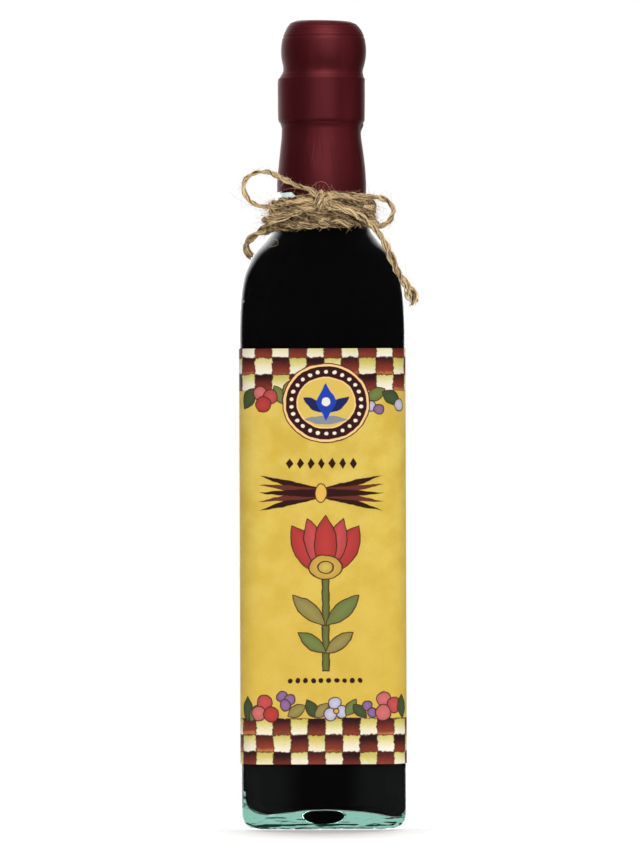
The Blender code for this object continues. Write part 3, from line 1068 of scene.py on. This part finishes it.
label = {
    "gap": 0.02,
    "thickness": 0.18,
    "bottom": 22.9,
    "top": 167.4,
    "overlap": 6.0,
    "overlapGap": 0.02,
    "rowStep": 1.5,
    "pointsAlong": 340,
    "columnPitch": 6.02,
    "columnStart": 0.6,
    "topBand": {"from": 152.6, "to": 170.0, "pitch": 5.8, "foot": 152.6, "dark": 0},
    "bottomBand": {"from": 20.0, "to": 39.0, "pitch": 5.87, "foot": 21.3, "dark": 1},
    "light": tint(233, 206, 98),
    "deep": tint(220, 186, 72),
    "low": tint(218, 183, 70),
    "lowShare": (60, 120, 0.5, 0),
    "speck": tint(192, 154, 58),
    "speckShare": 0.4,
    "speckleScale": 2.6,
    "mottleScale": 0.10,
    "shakeScale": 0.3,
    "shake": 0.9,
    "raggedScale": 1.0,
    "ragged": 1.5,
    # from the foot of a cell to its top
    "darkCell": ((0.0, tint(196, 120, 66)), (0.10, tint(150, 62, 42)), (0.5, tint(116, 44, 32)),
                 (0.85, tint(62, 24, 27)), (1.0, tint(48, 20, 24))),
    "paleCell": ((0.0, tint(248, 240, 222)), (0.35, tint(240, 231, 196)), (0.7, tint(222, 210, 132)),
                 (1.0, tint(205, 188, 92))),
}

inks = {
    "line": tint(84, 42, 28),
    "brown": tint(58, 24, 20),
    "bark": tint(112, 50, 34),
    "maroon": tint(64, 20, 24),
    "peach": tint(255, 208, 140),
    "cream": tint(246, 238, 214),
    "honey": tint(232, 186, 84),
    "sun": tint(228, 196, 92),
    "blue": tint(26, 66, 186),
    "navy": tint(30, 38, 100),
    "grey": tint(140, 146, 158),
    "pink": tint(228, 120, 118),
    "red": tint(204, 66, 62),
    "rose": tint(216, 84, 84),
    "lilac": tint(156, 116, 168),
    "mist": tint(214, 210, 232),
    "leaf": tint(128, 142, 74),
    "olive": tint(166, 152, 84),
    "moss": tint(78, 96, 58),
    "stem": tint(112, 128, 62),
}


def disc(x, y, size, ink):
    return ("oval", x, y, 0, size, size, ink)


# form, place across and up, turn in degrees, half length, half width, ink, in the order of printing
garlands = (
    ("leaf", -26.0, 150.0, 60, 4.0, 2.2, "moss"),
    ("leaf", -14.8, 151.2, 120, 3.6, 1.9, "leaf"),
    ("leaf", -11.6, 153.6, 60, 3.4, 1.7, "olive"),
    disc(-21.6, 151.8, 2.2, "pink"),
    disc(-18.0, 150.6, 2.2, "rose"),
    disc(-20.6, 148.0, 2.4, "red"),
    ("leaf", 18.6, 151.4, 30, 3.6, 1.9, "leaf"),
    ("leaf", 24.2, 150.2, 150, 3.8, 2.1, "moss"),
    disc(16.8, 147.4, 1.6, "mist"),
    disc(19.6, 146.2, 1.5, "lilac"),
    disc(27.4, 147.6, 1.9, "mist"),
    ("leaf", -27.0, 42.0, 90, 4.2, 2.0, "moss"),
    ("leaf", -24.0, 40.8, 60, 3.2, 1.6, "leaf"),
    disc(-20.4, 44.4, 2.5, "rose"),
    disc(-22.6, 40.6, 2.3, "pink"),
    disc(-18.2, 40.2, 2.4, "red"),
    disc(-14.4, 46.4, 1.7, "lilac"),
    disc(-11.6, 45.4, 1.6, "lilac"),
    disc(-13.2, 43.4, 1.7, "lilac"),
    ("leaf", -9.4, 41.4, 30, 3.4, 1.8, "olive"),
    ("leaf", -4.0, 42.2, 120, 3.4, 1.8, "moss"),
    ("leaf", -0.6, 41.6, 45, 3.2, 1.7, "olive"),
    disc(4.0, 44.0, 2.0, "mist"),
    disc(6.4, 41.0, 2.0, "mist"),
    disc(2.4, 40.2, 2.0, "mist"),
    disc(4.4, 41.4, 0.8, "honey"),
    ("leaf", 9.6, 42.6, 60, 3.2, 1.7, "leaf"),
    ("leaf", 12.6, 41.4, 135, 3.0, 1.6, "moss"),
    disc(15.2, 43.2, 1.5, "lilac"),
    disc(17.0, 40.8, 1.5, "lilac"),
    disc(21.0, 45.4, 2.3, "pink"),
    disc(24.8, 43.4, 2.5, "rose"),
    disc(20.8, 40.8, 2.5, "pink"),
    ("leaf", 28.2, 43.0, 95, 4.0, 1.8, "moss"),
)
pods = (
    ("leaf", -0.6, 117.2, 16, 22.0, 1.5, "brown"),
    ("leaf", -0.6, 117.2, -16, 22.0, 1.5, "brown"),
    ("leaf", -0.6, 117.2, 8, 21.8, 1.4, "bark"),
    ("leaf", -0.6, 117.2, -8, 21.8, 1.4, "bark"),
    ("leaf", -0.6, 117.2, 0, 21.6, 1.4, "brown"),
    ("oval", -0.6, 117.2, 0, 2.2, 3.4, "line"),
    ("oval", -0.6, 117.2, 0, 1.8, 3.0, "honey"),
)
tulip = (
    ("bar", 0.9, 71.5, 90, 16.0, 0.95, "stem"),
    ("leaf", 6.8, 76.4, 42, 7.4, 2.6, "leaf"),
    ("leaf", -5.0, 76.4, 138, 7.4, 2.6, "olive"),
    ("leaf", 5.6, 65.2, 36, 5.8, 2.1, "olive"),
    ("leaf", -3.8, 65.2, 144, 5.8, 2.1, "leaf"),
    ("leaf", 7.4, 97.4, 58, 9.6, 4.2, "red"),
    ("leaf", -5.6, 97.4, 122, 9.6, 4.2, "red"),
    ("leaf", 4.4, 99.0, 74, 9.4, 3.4, "rose"),
    ("leaf", -2.6, 99.0, 106, 9.4, 3.4, "rose"),
    ("leaf", 0.9, 99.4, 90, 9.8, 3.6, "red"),
    ("oval", 0.9, 91.4, 0, 5.4, 4.0, "honey"),
    ("oval", 0.9, 91.4, 0, 2.4, 1.8, "sun"),
)
medallion = (
    ("oval", 1.3, 148.5, 0, 15.3, 13.9, "line"),
    ("oval", 1.3, 148.5, 0, 14.9, 13.5, "peach"),
    ("oval", 1.3, 148.5, 0, 14.1, 12.7, "maroon"),
    ("oval", 1.3, 148.5, 0, 10.3, 9.0, "peach"),
    ("oval", 1.3, 148.5, 0, 9.8, 8.5, "sun"),
    ("leaf", 1.3, 142.6, 0, 7.6, 1.5, "grey"),
    ("leaf", -2.9, 147.8, 145, 4.6, 1.7, "navy"),
    ("leaf", 5.5, 147.8, 35, 4.6, 1.7, "navy"),
    ("lozenge", 1.3, 148.8, 90, 6.6, 3.7, "blue"),
    disc(1.3, 148.8, 1.5, "cream"),
)
beads = {"count": 26, "across": 12.2, "up": 10.85, "size": 0.62}
rule = {"middle": -0.4, "height": 127.4, "count": 7, "pitch": 3.7, "tall": 1.9, "wide": 1.25}
dots = {"middle": 0.6, "height": 52.0, "count": 10, "pitch": 2.7, "size": 0.85}


def wrapPlace(along, offset):
    # where a point of the label lies on the bottle, by its distance round from the middle of the front
    half = glass["half"] + offset
    corner = glass["corner"] + offset
    flat = half - corner
    arc = corner * np.pi / 2
    side = 2 * flat + arc
    shifted = along + flat
    quarter = np.floor(shifted / side)
    rest = shifted - quarter * side
    bend = np.clip((rest - 2 * flat) / corner, 0, np.pi / 2)
    x = np.clip(rest, 0, 2 * flat) - flat + corner * np.sin(bend)
    y = -half + corner * (1 - np.cos(bend))
    turn = quarter * np.pi / 2
    return x * np.cos(turn) - y * np.sin(turn), x * np.sin(turn) + y * np.cos(turn)


class Print(Look):
    # paper that motifs are printed on, one over the other, by their place on the label in mm
    def __init__(self, name):
        super().__init__(name)
        flat = self.attribute("labelPlace", "Vector")
        shake = self.noise(flat, label["shakeScale"], 1.5).output("Color")
        shake = self.node("ShaderNodeVectorMath", {"operation": "SUBTRACT"}, {0: shake, 1: (0.5, 0.5, 0.5)})
        shake = self.stretch(shake, (label["shake"], label["shake"], 0))
        spot = self.node("ShaderNodeVectorMath", {"operation": "ADD"}, {0: flat, 1: shake})
        self.speckle = self.noise(flat, label["speckleScale"], 3, 0.65)
        mottle = self.noise(flat, label["mottleScale"], 3)
        self.ragged = (self.noise(flat, label["raggedScale"], 3) - 0.5) * label["ragged"]
        self.u, self.v, _ = self.axes(spot)
        ground = self.blend(self.ease(mottle, 0.3, 0.7), label["light"], label["deep"])
        ground = self.blend(self.fade(self.v, *label["lowShare"]), ground, label["low"])
        specks = self.ease(self.speckle, 0.3, 0.8) * label["speckShare"]
        self.colour = self.blend(specks, ground, label["speck"])

    def near(self, x, y, turn, long, wide):
        # where each spot lies from a motif's middle, in its own directions and half sizes
        cosine, sine = math.cos(math.radians(turn)), math.sin(math.radians(turn))
        rows = (
            (cosine / long, sine / long, -(x * cosine + y * sine) / long),
            (-sine / wide, cosine / wide, (x * sine - y * cosine) / wide),
        )
        return [self.plus(self.u, a, self.plus(self.v, b, c)) for a, b, c in rows]

    def plus(self, value, times, more):
        return self.maths("MULTIPLY_ADD", value, times, more)

    def edge(self, form, x, y, turn, long, wide):
        # how far each spot lies from the middle of a form whose edge is at 1
        across, up = self.near(x, y, turn, long, wide)
        if form == "oval":
            return self.maths("SQRT", self.plus(across, across, up * up))
        if form == "leaf":
            return self.plus(across, across, abs(up))
        if form == "lozenge":
            return abs(across) + abs(up)
        return self.most((abs(across) - 1) * (long / wide) + 1, abs(up))

    def paint(self, edge, size, ink, line=0.0):
        if line > 0:
            share = self.fade(edge, 1 + line / size, 1 + (line + 0.15) / size, 1, 0)
            self.colour = self.blend(share, self.colour, inks["line"])
        self.colour = self.blend(self.fade(edge, 1 - 0.05 / size, 1 + 0.1 / size, 1, 0), self.colour, ink)

    def motifs(self, forms, line):
        for form, x, y, turn, long, wide, ink in forms:
            red, green, blue, _ = inks[ink]
            shaded = (red * 0.6, green * 0.6, blue * 0.6, 1)
            edge = self.edge(form, x, y, turn, long, wide)
            size = min(long, wide)
            if line:
                share = self.fade(edge, 0, 1, 0, 0.5) + self.speckle * 0.5
                self.paint(edge, size, self.blend(share, inks[ink], shaded), line)
            else:
                self.paint(edge, size, inks[ink])

    def checks(self, band):
        column = (self.u + self.ragged - label["columnStart"]) / label["columnPitch"]
        row = (self.v + self.ragged - band["foot"]) / band["pitch"]
        left, low = self.maths("FLOOR", column), self.maths("FLOOR", row)
        across, up = column - left, row - low
        odd = self.maths("MODULO", abs(left + low + band["dark"]), 2.0)
        # a chance value of its own for each cell
        chance = self.maths("FRACT", self.maths("SINE", left * 12.99 + low * 78.23) * 437.58)
        shade = up + (self.speckle - 0.5) * 0.5 + (chance - 0.5) * 0.35
        checks = self.blend(odd, self.ramp(shade, label["darkCell"]), self.ramp(shade, label["paleCell"]))
        rim = self.least(self.least(across, 1 - across) * label["columnPitch"],
                         self.least(up, 1 - up) * band["pitch"])
        checks = self.blend(self.fade(rim, 0.10, 0.32, 0.9, 0), checks, inks["line"])
        above = self.fade(self.v, band["from"] - 0.1, band["from"] + 0.1)
        below = self.fade(self.v, band["to"] - 0.1, band["to"] + 0.1, 1, 0)
        self.colour = self.blend(above * below, self.colour, checks)

    def beadRing(self):
        # small round beads in the medallion's dark ring
        _, x, y, *_ = medallion[0]
        across, up = self.near(x, y, 0, beads["across"], beads["up"])
        turn = self.maths("ARCTAN2", up, across) * (beads["count"] / (2 * np.pi)) + beads["count"]
        step = turn - self.maths("FLOOR", turn) - 0.5
        outward = self.maths("SQRT", self.plus(across, across, up * up)) - 1
        aside = step * (2 * np.pi * beads["up"] / beads["count"] / beads["size"])
        outward = outward * (beads["up"] / beads["size"])
        edge = self.maths("SQRT", self.plus(aside, aside, outward * outward))
        self.paint(edge, beads["size"], inks["cream"])


def labelLook():
    look = Print("mustard paper")
    look.checks(label["topBand"])
    look.checks(label["bottomBand"])
    look.motifs(garlands, 0.32)
    look.motifs(tulip, 0.36)
    look.motifs(pods, 0.0)
    for number in range(rule["count"]):
        x = rule["middle"] + rule["pitch"] * (number - (rule["count"] - 1) / 2)
        edge = look.edge("lozenge", x, rule["height"], 90, rule["tall"], rule["wide"])
        look.paint(edge, rule["wide"], inks["brown"])
    for number in range(dots["count"]):
        x = dots["middle"] + dots["pitch"] * (number - (dots["count"] - 1) / 2)
        edge = look.edge("oval", x, dots["height"], 0, dots["size"], dots["size"])
        look.paint(edge, dots["size"], inks["brown"])
    look.motifs(medallion, 0.0)
    look.beadRing()
    return look.finish({"Base Color": look.colour, "Roughness": 0.6, "Specular IOR Level": 0.3})


def addLabel():
    half = glass["half"] + label["gap"]
    corner = glass["corner"] + label["gap"]
    around = 8 * (half - corner) + 2 * np.pi * corner
    reach = (around + label["overlap"]) / 2
    along = np.linspace(-reach, reach, label["pointsAlong"])
    steps = round((label["top"] - label["bottom"]) / label["rowStep"])
    heights = np.linspace(label["bottom"], label["top"], steps + 1)
    lift = np.where(along > reach - label["overlap"], label["thickness"] + label["overlapGap"], 0.0)
    skins = []
    for offset in (label["gap"] + label["thickness"], label["gap"]):
        x, y = wrapPlace(along, offset)
        outX, outY = wrapPlace(along, offset + 1)
        x = x + (outX - x) * lift
        y = y + (outY - y) * lift
        for height in heights:
            skins.append(np.column_stack([x, y, np.full(len(x), height)]))
    wide, tall = len(along), len(heights)
    points = np.vstack(skins)
    front = gridFaces(tall, wide, False)
    back = front[:, ::-1] + tall * wide
    rim = list(range(wide))
    rim += [r * wide + wide - 1 for r in range(1, tall)]
    rim += [(tall - 1) * wide + i for i in range(wide - 2, -1, -1)]
    rim += [r * wide for r in range(tall - 2, 0, -1)]
    edge = [[a, a + tall * wide, b + tall * wide, b] for a, b in zip(rim, rim[1:] + rim[:1])]
    faces = front.tolist() + back.tolist() + edge
    spots = np.column_stack([np.tile(along, 2 * tall), points[:, 2], np.zeros(len(points))])
    return makePiece("paper_label", points * mm, faces, labelLook(), 40, {"labelPlace": spots})


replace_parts(addLabel(), "label")
print("label made")


# Light and floor

studio = {
    "floorRadius": 0.4,
    "floorSides": 96,
    "floorTone": (0.98, 0.98, 0.98, 1),
    "floorFade": (-31 * mm, -23 * mm),
    "around": 0.34,  # what lights matt surfaces from the sides
    "above": 0.60,
    "aboveFrom": (0.2, 0.8),
    "mirroredFront": 0.03,
    "mirroredBack": 2.4,
    "backFrom": (0.62, 1.0),
    "leftStronger": 0.16,
    "keyPlace": (0.5, -2.2, 0.7),
    "keySize": 0.9,
    "keyPower": 21,
    "sun": 2.5,
    "sunTilt": -23,
    "sunSoftness": 40,
    "bandPlace": (0.2, -1.4, 1.8),
    "bandSize": (1.4, 1.2),
    "bandPower": 24,
    "frontPlace": (0.45, -2.2, 0.5),
    "frontSize": (1.6, 0.5),
    "frontPower": 8,
    "softAim": (0, 0, 0.25),
}


def addWorld():
    world = bpy.data.worlds.new("studio")
    bpy.context.scene.world = world
    world.use_nodes = True
    sheet = Sheet(world.node_tree)
    background = world.node_tree.nodes["Background"]
    x, y, z = sheet.axes(sheet.node("ShaderNodeTexCoord").output("Generated"))
    behind = sheet.ease(y - x * studio["leftStronger"], *studio["backFrom"])
    mirrored = studio["mirroredFront"] + behind * (studio["mirroredBack"] - studio["mirroredFront"])
    soft = studio["around"] + sheet.ease(z, *studio["aboveFrom"]) * (studio["above"] - studio["around"])
    path = sheet.node("ShaderNodeLightPath")
    clear = sheet.most(path.output("Is Camera Ray"), path.output("Is Transmission Ray"))
    glossy = path.output("Is Glossy Ray")
    strength = glossy * mirrored + (1 - glossy) * soft
    strength = clear + (1 - clear) * strength
    world.node_tree.links.new(strength.socket, background.inputs["Strength"])
    background.inputs["Color"].default_value = (1, 1, 1, 1)


def addFloor():
    angle = np.linspace(0, 2 * np.pi, studio["floorSides"], endpoint=False)
    rim = np.column_stack([np.cos(angle), np.sin(angle), np.zeros(len(angle))]) * studio["floorRadius"]
    mesh = bpy.data.meshes.new("floor")
    mesh.from_pydata(rim.tolist(), [], [list(range(len(angle)))])
    look = Look("pale floor")
    _, y, _ = look.axes(look.place())
    shown = look.below(y, studio["floorFade"])
    mesh.materials.append(look.finish({
        "Base Color": studio["floorTone"], "Roughness": 1.0, "Specular IOR Level": 0.0, "Alpha": shown}))
    floor = bpy.data.objects.new("floor", mesh)
    bpy.context.scene.collection.objects.link(floor)
    floor.visible_glossy = False


def addLight(name, kind, energy, place=(0, 0, 1), aim=(0, 0, 0.15), glossy=False):
    data = bpy.data.lights.new(name, kind)
    data.energy = energy
    light = bpy.data.objects.new(name, data)
    bpy.context.scene.collection.objects.link(light)
    light.location = place
    light.rotation_euler = (Vector(aim) - light.location).to_track_quat("-Z", "Y").to_euler()
    light.visible_glossy = glossy
    return light


def addLights():
    key = addLight("key", "AREA", studio["keyPower"], studio["keyPlace"])
    key.data.size = studio["keySize"]
    sun = addLight("overhead", "SUN", studio["sun"])
    sun.data.angle = math.radians(studio["sunSoftness"])
    sun.rotation_euler = (math.radians(studio["sunTilt"]), 0, 0)
    onFilm = bpy.data.collections.new("lit by the bands")
    onFilm.objects.link(film)
    for name in ("band", "front"):
        power, place = studio[name + "Power"], studio[name + "Place"]
        soft = addLight(name, "AREA", power, place, studio["softAim"], True)
        soft.data.shape = "RECTANGLE"
        soft.data.size, soft.data.size_y = studio[name + "Size"]
        soft.light_linking.receiver_collection = onFilm


addWorld()
addFloor()
addLights()
bpy.context.scene.view_settings.view_transform = "Standard"
print("studio made")
